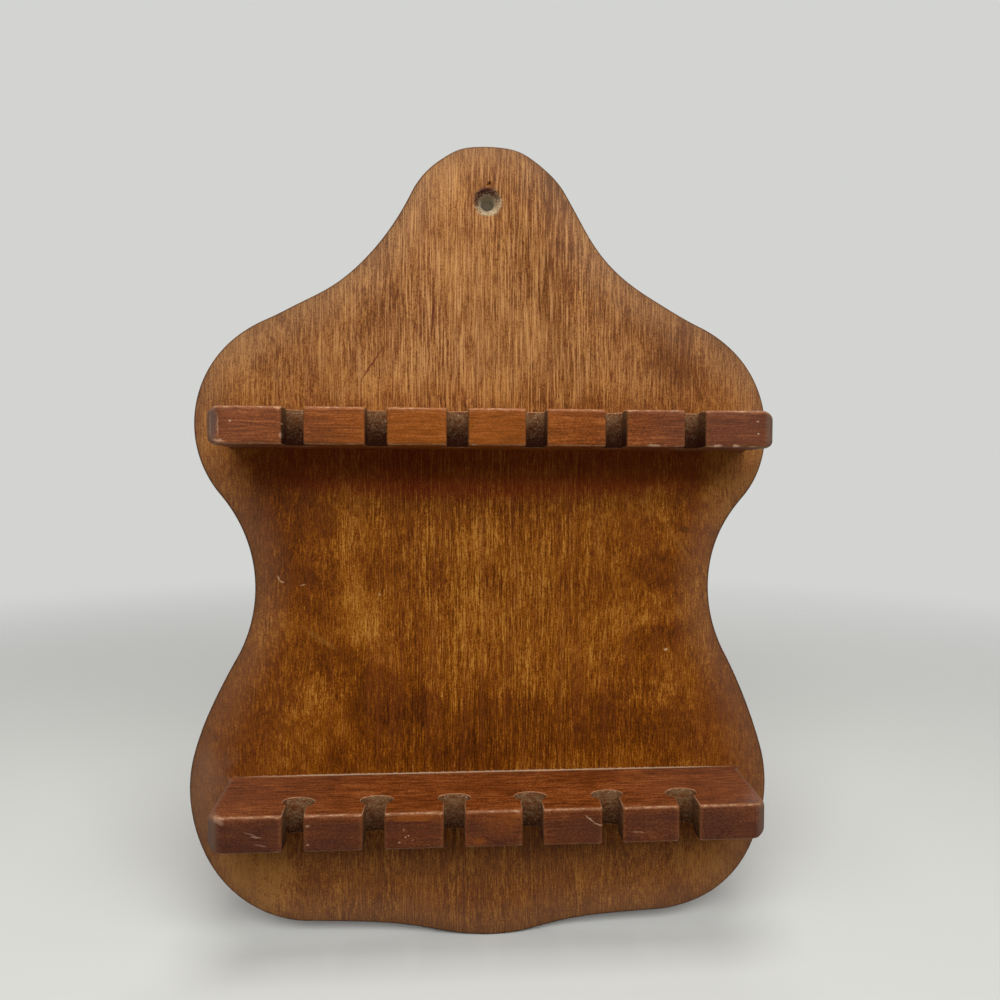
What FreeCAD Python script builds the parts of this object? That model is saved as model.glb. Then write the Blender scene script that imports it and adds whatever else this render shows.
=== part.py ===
import FreeCAD, Part
import math
import os

# Wall spoon rack: a shaped back board that hangs on one nail, and two rails with keyhole slots
# for spoon handles, each glued to the board and screwed on from behind.
# X runs to the right along the rails, Y into the wall and Z up. The origin is the centre of the
# hanging hole on the board's back face. Sizes are in millimetres, angles in degrees.

# Back board: stock, then the arcs of its outline from the crown down to the foot.
# A drop is measured down from the top of the crown, a rise up from the foot, and a width right across.
board_thickness = 8.0
board_length = 297.8
board_arris = 0.7
crown_r = 31.4
neck_r = 96.0
shoulder_width = 215.2
shoulder_drop = 104.0
shoulder_r = 41.0
waist_r = 54.6
flank_r = 173.0
flank_turn = 15.5
hip_width = 219.5
hip_rise = 55.6
hip_r = 53.8
corner_r = 42.8
corner_turn = 29.3
hollow_r = 275.0
foot_r = 98.7

# Hanging hole: a plain hole, worn to a cone on the front
hole_drop = 20.4
hole_d = 5.1
cone_d = 9.8
cone_depth = 3.5

# Rails: square bars with softened edges, a little to the right of the board's middle
rail_length = 190.5
rail_depth = 31.8
rail_thickness = 12.7
rail_corner_r = 3.5
rail_arris = 1.1
upper_rail_drop = 106.5
lower_rail_rise = 55.8
upper_rail_shift = 2.3
lower_rail_shift = 1.4

# Spoon slots: a neck from the front of the rail, ending in a wider head with round lobes
slots_per_rail = 6
slot_pitch = 26.9
slot_depth = 14.0
neck_width = 7.0
head_width = 11.0
lobe_r = 3.2
mouth_r = 0.9

# Wood screws: slotted flat heads sunk in the board's back, on the land inside each end slot
screw_length = 20.0
screw_d = 3.5
screw_core_d = 2.4
screw_head_d = 7.0
screw_head_sink = 0.3
screw_plain_length = 9.0
screw_point_length = 4.0
screw_slot_width = 0.9
screw_slot_depth = 0.8
screw_slot_turns = (25.0, 110.0)
screw_clearance = 0.1
pilot_spare_depth = 1.5

# How far a cutting shape runs past the face that it cuts
overcut = 2.0

# Places that follow from the sizes
top_z = hole_drop
foot_z = top_z - board_length
board_front = -board_thickness
rail_front = board_front - rail_depth
upper_rail_z = top_z - upper_rail_drop
lower_rail_z = foot_z + lower_rail_rise
slot_offsets = [(i - (slots_per_rail - 1) / 2) * slot_pitch for i in range(slots_per_rail)]
screw_offset = (slots_per_rail / 2 - 1) * slot_pitch


def vec(x, y, z):
    return FreeCAD.Vector(x, y, z)


def heading(angle):
    """Unit vector in the board's plane, at an angle above the level."""
    return vec(math.cos(math.radians(angle)), 0, math.sin(math.radians(angle)))


def along(start, end, distance):
    """The point at a distance from start, on the way to end."""
    return start + (end - start).normalize() * distance


def touching_centre(a, a_r, b, b_r, r):
    """Centre of the arc of radius r that touches circles a and b from outside, left of a to b."""
    way = b - a
    gap = way.Length
    way.normalize()
    left = vec(-way.z, 0, way.x)
    reach = ((a_r + r) ** 2 - (b_r + r) ** 2 + gap ** 2) / (2 * gap)
    return a + way * reach + left * math.sqrt((a_r + r) ** 2 - reach ** 2)


def arc(centre, start, end):
    """The short arc round a centre from start to end."""
    middle = along(centre, (start + end) * 0.5, (start - centre).Length)
    return Part.Arc(start, middle, end).toShape()


def board_outline():
    """The outline as touching arcs: the right half from crown to foot, and its mirror image."""
    crown = vec(0, 0, top_z - crown_r)
    shoulder = vec(shoulder_width / 2 - shoulder_r, 0, top_z - shoulder_drop)
    hip = vec(hip_width / 2 - hip_r, 0, foot_z + hip_rise)
    flank = hip - heading(flank_turn) * (flank_r - hip_r)
    corner = hip + heading(-corner_turn) * (hip_r - corner_r)
    foot = vec(0, 0, foot_z + foot_r)
    neck = touching_centre(crown, crown_r, shoulder, shoulder_r, neck_r)
    waist = touching_centre(shoulder, shoulder_r, flank, flank_r, waist_r)
    hollow = touching_centre(corner, corner_r, foot, foot_r, hollow_r)
    centres = [crown, neck, shoulder, waist, flank, hip, corner, hollow, foot]
    joints = [
        vec(0, 0, top_z),
        along(crown, neck, crown_r),
        along(shoulder, neck, shoulder_r),
        along(shoulder, waist, shoulder_r),
        along(flank, waist, flank_r),
        hip + heading(flank_turn) * hip_r,
        hip + heading(-corner_turn) * hip_r,
        along(corner, hollow, corner_r),
        along(foot, hollow, foot_r),
        vec(0, 0, foot_z),
    ]
    right = [arc(*stretch) for stretch in zip(centres, joints, joints[1:])]
    left = [edge.mirror(vec(0, 0, 0), vec(1, 0, 0)) for edge in right]
    return Part.Wire(Part.__sortEdges__(right + left))


def turned(profile, x, z):
    """A solid turned about an axis along Y, from (radius, y) points that start and end on the axis."""
    points = [vec(x + radius, y, z) for radius, y in profile]
    face = Part.Face(Part.makePolygon(points + points[:1]))
    return face.revolve(vec(x, 0, z), vec(0, 1, 0), 360)


def hanging_hole():
    hole_r = hole_d / 2
    cone_slope = (cone_d / 2 - hole_r) / cone_depth
    return turned([
        (0, overcut),
        (hole_r, overcut),
        (hole_r, board_front + cone_depth),
        (hole_r + cone_slope * (cone_depth + overcut), board_front - overcut),
        (0, board_front - overcut),
    ], 0, 0)


def screw_places(rail_x):
    return [rail_x - screw_offset, rail_x + screw_offset]


def screw_profile(spare):
    """Half section of a screw, or of its hole when spare is the clearance round it."""
    head_r = screw_head_d / 2 + spare
    plain_r = screw_d / 2 + spare
    core_r = screw_core_d / 2 + spare
    neck_y = -screw_head_sink - (screw_head_d - screw_d) / 2
    core_y = -screw_head_sink - screw_plain_length - spare
    end_y = -screw_head_sink - screw_length
    return [
        (head_r, -screw_head_sink),
        (plain_r, neck_y),
        (plain_r, core_y),
        (core_r, core_y - (screw_d - screw_core_d) / 2),
        (core_r, end_y + screw_point_length),
        (0, end_y),
    ]


def screw(x, z, slot_turn):
    blank = turned([(0, -screw_head_sink)] + screw_profile(0), x, z)
    groove = Part.makeBox(
        screw_head_d + overcut, screw_slot_depth + overcut, screw_slot_width,
        vec(x - (screw_head_d + overcut) / 2, -screw_head_sink - screw_slot_depth, z - screw_slot_width / 2))
    groove.rotate(vec(x, 0, z), vec(0, 1, 0), slot_turn)
    return blank.cut(groove)


def screw_hole(x, z):
    profile = screw_profile(screw_clearance)
    head_r = profile[0][0]
    core_r, core_end = profile[-2]
    bottom = core_end - screw_point_length - pilot_spare_depth
    return turned([(0, overcut), (head_r, overcut)] + profile[:-2] + [(core_r, bottom), (0, bottom)], x, z)


def back_board():
    blank = Part.Face(board_outline()).extrude(vec(0, board_front, 0)).removeSplitter()
    rims = [edge for edge in blank.Edges if edge.BoundBox.YLength < board_thickness / 2]
    board = blank.makeChamfer(board_arris, rims)
    holes = [hanging_hole()]
    for rail_x, rail_z in (upper_rail_place, lower_rail_place):
        holes += [screw_hole(x, rail_z) for x in screw_places(rail_x)]
    return board.cut(holes)


def spoon_slot(x, z):
    """The space of one slot: a neck, a head with a lobe on each side, and a rounded mouth."""
    height = rail_thickness + 2 * overcut
    low = z - height / 2
    lobe_x = head_width / 2 - lobe_r
    lobe_y = rail_front + slot_depth - lobe_r
    mouth_x = neck_width / 2 + mouth_r
    neck = Part.makeBox(neck_width, slot_depth - lobe_r, height, vec(x - neck_width / 2, rail_front, low))
    head = Part.makeBox(2 * lobe_x, 2 * lobe_r, height, vec(x - lobe_x, lobe_y - lobe_r, low))
    mouth = Part.makeBox(2 * mouth_x, mouth_r + overcut, height, vec(x - mouth_x, rail_front - overcut, low))
    lips = [Part.makeCylinder(mouth_r, height, vec(x + side * mouth_x, rail_front + mouth_r, low))
            for side in (-1, 1)]
    lobes = [Part.makeCylinder(lobe_r, height, vec(x + side * lobe_x, lobe_y, low)) for side in (-1, 1)]
    return neck.fuse([mouth.cut(lips), head] + lobes).removeSplitter()


def rail(x, z):
    bar = Part.makeBox(rail_length, rail_depth, rail_thickness,
                       vec(x - rail_length / 2, rail_front, z - rail_thickness / 2))
    uprights = [edge for edge in bar.Edges
                if edge.BoundBox.ZLength > rail_thickness / 2 and edge.BoundBox.YMax < board_front - rail_depth / 2]
    bar = bar.makeFillet(rail_corner_r, uprights)
    arrises = [edge for edge in bar.Edges
               if edge.BoundBox.ZLength < rail_thickness / 2 and edge.BoundBox.YMin < board_front - rail_depth / 2]
    bar = bar.makeFillet(rail_arris, arrises)
    slots = [spoon_slot(x + offset, z) for offset in slot_offsets]
    return bar.cut(slots + [screw_hole(place, z) for place in screw_places(x)])


def rail_screws(x, z):
    return Part.makeCompound([screw(place, z, turn) for place, turn in zip(screw_places(x), screw_slot_turns)])


upper_rail_place = (upper_rail_shift, upper_rail_z)
lower_rail_place = (lower_rail_shift, lower_rail_z)

pieces = {
    "back_board": back_board(),
    "upper_rail": rail(*upper_rail_place),
    "lower_rail": rail(*lower_rail_place),
    "upper_rail_screws": rail_screws(*upper_rail_place),
    "lower_rail_screws": rail_screws(*lower_rail_place),
}

os.makedirs("parts", exist_ok=True)
for name, shape in pieces.items():
    shape.exportStep(f"parts/{name}.step")
    box = shape.BoundBox
    print(f"{name}: {len(shape.Solids)} solid(s), valid {shape.isValid()}, volume {shape.Volume:.0f} mm3,",
          f"{box.XLength:.1f} x {box.YLength:.1f} x {box.ZLength:.1f} mm")
print("OK")
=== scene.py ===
import math

import bpy
import numpy as np
from mathutils import Matrix, Vector


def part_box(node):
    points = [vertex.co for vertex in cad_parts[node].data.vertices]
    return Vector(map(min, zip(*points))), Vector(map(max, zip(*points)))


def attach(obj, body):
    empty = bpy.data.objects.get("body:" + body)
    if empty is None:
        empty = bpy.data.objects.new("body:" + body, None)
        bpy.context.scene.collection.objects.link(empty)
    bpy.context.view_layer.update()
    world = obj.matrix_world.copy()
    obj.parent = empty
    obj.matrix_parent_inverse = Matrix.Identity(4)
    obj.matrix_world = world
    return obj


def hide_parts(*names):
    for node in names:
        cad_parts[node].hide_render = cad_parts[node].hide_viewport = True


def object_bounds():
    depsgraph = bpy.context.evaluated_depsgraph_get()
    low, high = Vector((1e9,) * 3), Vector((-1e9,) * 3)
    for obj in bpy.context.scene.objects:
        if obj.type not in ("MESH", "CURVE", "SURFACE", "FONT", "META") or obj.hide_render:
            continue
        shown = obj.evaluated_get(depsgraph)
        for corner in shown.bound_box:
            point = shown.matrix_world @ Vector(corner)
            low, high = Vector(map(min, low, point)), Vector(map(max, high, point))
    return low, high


# Wall spoon rack: a shaped board that hangs by one hole, with two rails slotted for spoon handles.
# Lengths are in millimetres and become metres where they enter a mesh, a lamp or a pattern.
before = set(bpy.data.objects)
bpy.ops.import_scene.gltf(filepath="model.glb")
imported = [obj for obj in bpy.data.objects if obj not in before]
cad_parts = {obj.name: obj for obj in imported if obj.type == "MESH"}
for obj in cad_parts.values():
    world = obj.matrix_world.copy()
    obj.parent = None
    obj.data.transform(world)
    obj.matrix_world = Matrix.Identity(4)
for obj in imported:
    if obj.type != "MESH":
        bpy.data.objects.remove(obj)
cad_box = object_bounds()
mm = 0.001

# Camera
# It is held close in front of the rack, level with the space between the rails and a little to the
# left, with a wide lens, so that the lower rail is seen from above and the upper one from below.
camera_place = (-12.2, -276.9, -103.3)
camera_lens = 25.68
camera_film = 36.0
camera_tilt = 1.72
camera_lean = 0.12
camera_pan = 3.69
camera_near = 10.0

camera_data = bpy.data.cameras.new("camera")
camera_data.lens = camera_lens
camera_data.sensor_width = camera_film
camera_data.clip_start = camera_near * mm
camera = bpy.data.objects.new("camera", camera_data)
camera.matrix_world = (
    Matrix.Translation(Vector(camera_place) * mm)
    @ Matrix.Rotation(math.radians(-camera_tilt), 4, "X")
    @ Matrix.Rotation(math.radians(-camera_lean), 4, "Y")
    @ Matrix.Rotation(math.radians(90), 4, "X")
    @ Matrix.Rotation(math.radians(-camera_pan), 4, "Y")
)
bpy.context.scene.collection.objects.link(camera)
bpy.context.scene.camera = camera

# Studio
# The rack stands on a pale floor that fades into a pale surround. A broad soft lamp in front lights it,
# with weaker ones overhead and behind, and the surround fills the shadows a little.
lamps = {
    # place, aim, width, height, watts
    "front_lamp": ((10, -620, 260), (0, 0, -130), 1000, 300, 5.2),
    "overhead_lamp": ((0, -240, 470), (0, -20, -120), 420, 260, 2.8),
    "back_lamp": ((220, 760, 330), (0, 0, -130), 600, 400, 4.0),
}
fill_strength = 0.13
fill_colour = "#f4f5f7"
surround_colour = "#d3d4d2"
floor_colour = "#c8c8c4"
floor_bounce_colour = "#b4b4b0"
# The sawn foot of the board reaches below the solids' box, so the floor lies this much lower
floor_drop = 1.6
floor_radius = 1100.0
floor_fade_start = 0.30
floor_spokes = 96
floor_rings = 24
floor_middle = 0.05
# Faces that meet at more than this turn, in degrees, keep a crisp edge between them
crisp_turn = 38.0


def linear(colour):
    """Linear red, green, blue and alpha of an sRGB hex colour."""
    srgb = np.array([int(colour[i:i + 2], 16) for i in (1, 3, 5)]) / 255
    curve = np.where(srgb <= 0.04045, srgb / 12.92, ((srgb + 0.055) / 1.055) ** 2.4)
    return (*curve.tolist(), 1.0)


def add(tree, kind, inputs=(), **settings):
    """Add a shader node with its settings. inputs gives sockets, by name or number, a value, an output to
    link, or a node whose first output is linked."""
    node = tree.nodes.new("ShaderNode" + kind)
    for name, value in settings.items():
        setattr(node, name, value)
    for socket, value in dict(inputs).items():
        if isinstance(value, bpy.types.Node):
            value = value.outputs[0]
        if isinstance(value, bpy.types.NodeSocket):
            tree.links.new(value, node.inputs[socket])
        else:
            node.inputs[socket].default_value = value
    return node


def grid_mesh(name, rows, fill=(True, True)):
    """Mesh of a grid of points whose rows are closed loops. Quads join each row to the next, and a flat
    face fills the first and last row where fill asks for it."""
    count, around = rows.shape[:2]
    index = np.arange(count * around).reshape(count, around)
    lower, upper = index[:-1], index[1:]
    quads = np.stack([lower, np.roll(lower, -1, axis=1), np.roll(upper, -1, axis=1), upper], axis=-1)
    faces = quads.reshape(-1, 4).tolist()
    if fill[0]:
        faces.append(index[0, ::-1].tolist())
    if fill[1]:
        faces.append(index[-1].tolist())
    mesh = bpy.data.meshes.new(name)
    mesh.from_pydata((rows.reshape(-1, 3) * mm).tolist(), [], faces)
    mesh.shade_smooth()
    mesh.set_sharp_from_angle(angle=math.radians(crisp_turn))
    return mesh


def new_object(mesh, material=None):
    """Put a mesh into the scene as an object at the origin, with its material if it has one."""
    thing = bpy.data.objects.new(mesh.name, mesh)
    bpy.context.scene.collection.objects.link(thing)
    if material:
        mesh.materials.append(material)
    return thing


def new_material(name):
    """An empty material, its tree, and the object's own coordinates."""
    material = bpy.data.materials.new(name)
    material.use_nodes = True
    tree = material.node_tree
    tree.nodes.clear()
    return material, tree, add(tree, "TexCoord").outputs["Object"]


def paint(tree, share, under, over):
    """A share of the colour over, laid on the colour under."""
    over = linear(over) if isinstance(over, str) else over
    under = linear(under) if isinstance(under, str) else under
    return add(tree, "Mix", {0: share, 6: under, 7: over}, data_type="RGBA").outputs[2]


def seen_directly(tree):
    """1 for a ray from the camera, or one that a glossy or clear surface sends on, and 0 for other light."""
    rays = add(tree, "LightPath")
    seen = add(tree, "Math", {
        0: rays.outputs["Is Camera Ray"], 1: rays.outputs["Is Glossy Ray"]}, operation="MAXIMUM")
    return add(tree, "Math", {0: seen, 1: rays.outputs["Is Transmission Ray"]}, operation="MAXIMUM")


def matt_floor():
    """Matt painted board: one even pale tone that takes soft shadows and thins out to nothing at its rim.
    It throws less light back at the rack than it shows."""
    material, tree, place = new_material("matt_painted_floor")
    flat = add(tree, "VectorMath", {0: place, 1: (1.0, 1.0, 0.0)}, operation="MULTIPLY")
    reach = add(tree, "VectorMath", {0: flat}, operation="LENGTH")
    fade = add(tree, "MapRange", {
        "Value": reach.outputs["Value"], "From Min": floor_radius * floor_fade_start * mm,
        "From Max": floor_radius * mm}, interpolation_type="SMOOTHSTEP")
    tone = paint(tree, seen_directly(tree), floor_bounce_colour, floor_colour)
    board = add(tree, "BsdfDiffuse", {"Color": tone, "Roughness": 1.0})
    clear = add(tree, "BsdfTransparent")
    mixed = add(tree, "MixShader", {0: fade, 1: board, 2: clear})
    add(tree, "OutputMaterial", {"Surface": mixed})
    return material


floor_turn = np.linspace(0, 2 * np.pi, floor_spokes, endpoint=False)
floor_reach = np.linspace(1.0, floor_middle, floor_rings)[:, None] * floor_radius
floor_level = np.full((floor_rings, floor_spokes), cad_box[0].z / mm - floor_drop)
floor_rows = np.stack(
    [floor_reach * np.cos(floor_turn), floor_reach * np.sin(floor_turn), floor_level], axis=-1)
floor_mesh = grid_mesh("floor", floor_rows, fill=(False, True))
floor = new_object(floor_mesh, matt_floor())

for name, (place, aim, width, height, watts) in lamps.items():
    lamp_data = bpy.data.lights.new(name, "AREA")
    lamp_data.shape = "RECTANGLE"
    lamp_data.size = width * mm
    lamp_data.size_y = height * mm
    lamp_data.energy = watts
    lamp = bpy.data.objects.new(name, lamp_data)
    lamp.visible_camera = False
    lamp_turn = (Vector(aim) - Vector(place)).to_track_quat("-Z", "Y")
    lamp.matrix_world = Matrix.Translation(Vector(place) * mm) @ lamp_turn.to_matrix().to_4x4()
    bpy.context.scene.collection.objects.link(lamp)

world = bpy.data.worlds.new("pale_surround")
world.use_nodes = True
world.node_tree.nodes.clear()
fill = add(world.node_tree, "Background", {"Color": linear(fill_colour), "Strength": fill_strength})
surround = add(world.node_tree, "Background", {"Color": linear(surround_colour), "Strength": 1.0})
sky = add(world.node_tree, "MixShader", {0: seen_directly(world.node_tree), 1: fill, 2: surround})
add(world.node_tree, "OutputWorld", {"Surface": sky})
bpy.context.scene.world = world
bpy.context.scene.view_settings.view_transform = "Standard"

# Back board
# One flat birch board, sawn by hand to a crown, shoulders, waist and hips, sanded round at its edges,
# stained brown and varnished. It hangs by a hole in the crown, whose front has worn to a cone.
board_low, board_high = (np.array(corner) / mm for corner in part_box("back_board"))
top_z = board_high[2]
foot_z = board_low[2]
board_front = board_low[1]
hip_width = board_high[0] - board_low[0]
crown_r = 31.4
neck_r = 96.0
shoulder_width = 215.2
shoulder_drop = 104.0
shoulder_r = 41.0
waist_r = 54.6
flank_r = 173.0
flank_turn = 15.5
hip_rise = 55.6
hip_r = 53.8
corner_r = 42.8
corner_turn = 29.3
hollow_r = 275.0
foot_r = 98.7
outline_points = 960
saw_waver = 0.35
# Where the hand-held saw ran outside the drawn line: x, z, reach along the edge, and how far out
saw_slips = (
    (31, -3, 12, 1.9),
    (-10, 19, 4, 0.5),
    (12, 19, 5, 0.7),
    (67, -40, 12, 1.3),
    (-70, -39, 9, 1.2),
    (100, -104, 14, 1.2),
    (-108, -200, 16, 1.2),
    (92, -257, 15, 1.4),
    (58, -269, 16, 1.2),
    (-62, -270, 18, 1.2),
    (7, -277, 15, 1.5),
)
front_arris = 1.0
back_arris = 0.6
arris_steps = 7
# How fast the stain and painted shade deepen over the rounded edge, and their share on the rim of the face
edge_darkening = 2.2
rim_darkening = 0.3
rim_width = 3.5
margin_width = 14.0
hole_r = 2.55
cone_r = 4.9
cone_depth = 3.5
cone_waver = 0.2
cone_swell = 1.8
cone_steps = 7
hole_points = 72
chip_place = (0.7, 6.7)
chip_r = 0.75
chip_depth = 1.6
chip_floor = 0.2
chip_points = 24
overcut = 1.0


def heading(angle):
    """Unit step in the board's plane at an angle above the level, with x as real and z as imaginary part."""
    return np.exp(1j * math.radians(angle))


def along(start, end, distance):
    """The point at a distance from start, on the way to end."""
    return start + (end - start) / abs(end - start) * distance


def touching_centre(a, a_r, b, b_r, r):
    """Centre of the arc of radius r that touches circles a and b from outside, left of a to b."""
    gap = abs(b - a)
    way = (b - a) / gap
    reach = ((a_r + r) ** 2 - (b_r + r) ** 2 + gap ** 2) / (2 * gap)
    return a + way * (reach + 1j * math.sqrt((a_r + r) ** 2 - reach ** 2))


def board_outline(count):
    """Outline as touching arcs, clockwise from the top: each point turns its arc's start about the
    arc's centre by its share of the arc's length. The left half mirrors the right one."""
    crown = 1j * (top_z - crown_r)
    shoulder = shoulder_width / 2 - shoulder_r + 1j * (top_z - shoulder_drop)
    hip = hip_width / 2 - hip_r + 1j * (foot_z + hip_rise)
    flank = hip - heading(flank_turn) * (flank_r - hip_r)
    corner = hip + heading(-corner_turn) * (hip_r - corner_r)
    foot = 1j * (foot_z + foot_r)
    neck = touching_centre(crown, crown_r, shoulder, shoulder_r, neck_r)
    waist = touching_centre(shoulder, shoulder_r, flank, flank_r, waist_r)
    hollow = touching_centre(corner, corner_r, foot, foot_r, hollow_r)
    centres = np.array([crown, neck, shoulder, waist, flank, hip, corner, hollow, foot])
    joints = np.array([
        1j * top_z,
        along(crown, neck, crown_r),
        along(shoulder, neck, shoulder_r),
        along(shoulder, waist, shoulder_r),
        along(flank, waist, flank_r),
        hip + heading(flank_turn) * hip_r,
        hip + heading(-corner_turn) * hip_r,
        along(corner, hollow, corner_r),
        along(foot, hollow, foot_r),
        1j * foot_z,
    ])
    spokes = joints[:-1] - centres
    turns = np.angle((joints[1:] - centres) / spokes)
    ends = np.concatenate([[0], np.cumsum(abs(spokes) * abs(turns))])
    run = np.linspace(0, ends[-1], count // 2 + 1)
    which = np.clip(np.searchsorted(ends, run, side="right") - 1, 0, len(turns) - 1)
    share = (run - ends[which]) / np.diff(ends)[which]
    right = centres[which] + spokes[which] * np.exp(1j * turns[which] * share)
    return np.concatenate([right, -right[-2:0:-1].conj()])


def wander(turn, waves, seed):
    """Unevenness that closes on itself: the mean of sines with whole numbers of waves round the loop."""
    phases = np.random.default_rng(seed).uniform(0, 2 * np.pi, len(waves))
    return np.sin(np.outer(turn, waves) * 2 * np.pi + phases).mean(axis=1)


def slip(path, slips):
    """How far the points of a path lie out of its line: the sum of a bell curve round each slip's place."""
    x, z, reach, out = np.array(slips).T[:, :, None]
    return (out * np.exp(-0.5 * (abs(path - x - 1j * z) / reach) ** 2)).sum(axis=0)


def slab_rows(path, inward, levels, rounding, face_rings, walls=5):
    """A slab's side carried round its plan, in rows from its first level to its last. At each level the
    rows start on rings in the flat face and go out to the wall along a quarter oval of that width and height.
    Gives the plan points, their levels, and each row's side: 0 on a face, 1 on the wall."""
    turn = np.radians(np.linspace(0, 90, arris_steps))[:, None]
    insets, depths = [], []
    for wide, tall in rounding:
        wide, tall = (np.broadcast_to(size, path.shape)[None] for size in (wide, tall))
        insets.append(np.concatenate([*(wide + ring for ring in face_rings), wide * (1 - np.sin(turn))]))
        depths.append(np.concatenate([*(0 * tall for _ in face_rings), tall * (1 - np.cos(turn))]))
    first = levels[0] + depths[0]
    last = levels[1] - depths[1][::-1]
    share = np.linspace(0, 1, walls + 2)[1:-1, None]
    wall = first[-1] * (1 - share) + last[0] * share
    plan = path + inward * np.concatenate([insets[0], 0 * wall, insets[1][::-1]])
    level = np.concatenate([first, wall, last])
    rise = np.concatenate([np.zeros(len(face_rings)), np.sin(turn[:, 0])])
    side = np.concatenate([rise, np.ones(walls), rise[::-1]])[:, None]
    return plan, level, np.broadcast_to(side, level.shape)


def turned_rows(radius, depth, x, z, around=48):
    """Rings about an axis along Y at x, z, with one radius to a ring or one to each of its points."""
    depth = np.reshape(depth, (-1, 1))
    turn = np.linspace(0, 2 * np.pi, around, endpoint=False)
    radius = np.broadcast_to(np.reshape(radius, (len(depth), -1)), (len(depth), around))
    return np.stack([x + radius * np.sin(turn), depth + 0 * radius, z + radius * np.cos(turn)], axis=-1)


def set_shades(mesh, shades):
    """Store arrays of the grid's shape as named values of the mesh's points."""
    for name, values in shades.items():
        layer = mesh.attributes.new(name, "FLOAT", "POINT")
        layer.data.foreach_set("value", np.ascontiguousarray(values, np.float32).ravel())


def cut(thing, cutters):
    """Cut other objects out of one for good, and remove them."""
    for cutter in cutters:
        bite = thing.modifiers.new("cut", "BOOLEAN")
        bite.object = cutter
        bite.solver = "EXACT"
    ready = thing.evaluated_get(bpy.context.evaluated_depsgraph_get())
    whole = bpy.data.meshes.new_from_object(ready)
    whole.set_sharp_from_angle(angle=math.radians(crisp_turn))
    thing.modifiers.clear()
    old = thing.data
    thing.data = whole
    bpy.data.meshes.remove(old)
    whole.name = thing.name
    for cutter in cutters:
        bpy.data.meshes.remove(cutter.data)


def hanging_hole():
    """The worn hole: a plain bore, then a cone that swells to the front, with an uneven lip."""
    worn = np.linspace(1, 0, cone_steps)
    radius = np.concatenate([[cone_r + overcut], hole_r + (cone_r - hole_r) * worn ** cone_swell, [hole_r]])
    depth = np.concatenate([[board_front - overcut], board_front + cone_depth * (1 - worn), [overcut]])
    turn = np.arange(hole_points) / hole_points
    swell = np.reshape((radius - hole_r) / (cone_r - hole_r), (-1, 1))
    uneven = 1 + cone_waver * swell * wander(turn, np.arange(2, 12), seed=5)
    rows = turned_rows(radius[:, None] * uneven, depth, 0, 0, hole_points)
    return new_object(grid_mesh("hanging_hole", rows))


def chip_above_hole():
    """A small pit with a ragged rim that narrows with depth."""
    ragged = chip_r * (1 + wander(np.arange(chip_points) / chip_points, np.arange(1, 7), seed=8))
    depth = board_front + np.array([-overcut, 0, chip_depth])
    rows = turned_rows(np.outer([1.0, 1.0, chip_floor], ragged), depth, *chip_place, chip_points)
    return new_object(grid_mesh("chip_above_hole", rows))


# Holes for the screws that hold the rails, sunk in the board's back
screw_length = 20.0
screw_d = 3.5
screw_core_d = 2.4
screw_head_d = 7.0
screw_head_sink = 0.3
screw_plain_length = 9.0
screw_point_length = 4.0
screw_tip_r = 0.05
screw_clearance = 0.1
pilot_spare_depth = 1.5
screw_nodes = {"upper_rail": "upper_rail_screws", "lower_rail": "lower_rail_screws"}


def screw_places(rail):
    """Axes of the two screws behind a rail, as x and z."""
    low, high = (np.array(corner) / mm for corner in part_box(screw_nodes[rail]))
    middle = (low[2] + high[2]) / 2
    return [(low[0] + screw_head_d / 2, middle), (high[0] - screw_head_d / 2, middle)]


def screw_profile(spare):
    """Radii and depths of a screw from point to head, or of its hole when spare is the room round it."""
    plain_r = screw_d / 2 + spare
    core_r = screw_core_d / 2 + spare
    end = -screw_head_sink - screw_length
    core_end = -screw_head_sink - screw_plain_length - spare
    neck = -screw_head_sink - (screw_head_d - screw_d) / 2
    taper = core_end - (screw_d - screw_core_d) / 2
    radius = [screw_tip_r, core_r, core_r, plain_r, plain_r, screw_head_d / 2 + spare]
    depth = [end, end + screw_point_length, taper, core_end, neck, -screw_head_sink]
    return np.array(radius), np.array(depth)


def screw_hole(x, z):
    """Room for one screw: its profile with clearance, flat and deeper at the point, and open at the back."""
    radius, depth = screw_profile(screw_clearance)
    radius = np.append(radius[1:], radius[-1])
    depth = np.concatenate([depth[:1] - pilot_spare_depth, depth[2:], [overcut]])
    return new_object(grid_mesh("screw_hole", turned_rows(radius, depth, x, z)))


def stray(tree, place, cell, reach, detail=2.0):
    """Places pushed aside by noise: cell is the noise's size and reach about twice the push, in mm."""
    noise = noise_layers(tree, place, {"push": (cell, detail, 0.5)})["push"]
    push = add(tree, "VectorMath", {0: noise.outputs["Color"], 1: (0.5, 0.5, 0.5)}, operation="SUBTRACT")
    push = add(tree, "VectorMath", {0: push, 1: tuple(size * mm for size in reach)}, operation="MULTIPLY")
    return add(tree, "VectorMath", {0: place, 1: push}, operation="ADD")


def noise_layers(tree, place, layers):
    """A noise for each named layer, from its cell size in mm, detail and roughness."""
    noises = {}
    for name, (cell, detail, roughness) in layers.items():
        cells = add(tree, "Mapping", {"Vector": place, "Scale": tuple(1 / (size * mm) for size in cell)})
        noises[name] = add(tree, "TexNoise", {
            "Vector": cells, "Scale": 1.0, "Detail": detail, "Roughness": roughness})
    return noises


def swayed(tree, tone, noises, weights):
    """A tone plus each noise's swing about its middle times its weight."""
    for name, weight in weights.items():
        swing = add(tree, "Math", {0: noises[name], 1: 0.5}, operation="SUBTRACT")
        tone = add(tree, "Math", {0: swing, 1: weight, 2: tone}, operation="MULTIPLY_ADD")
    return tone


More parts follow.
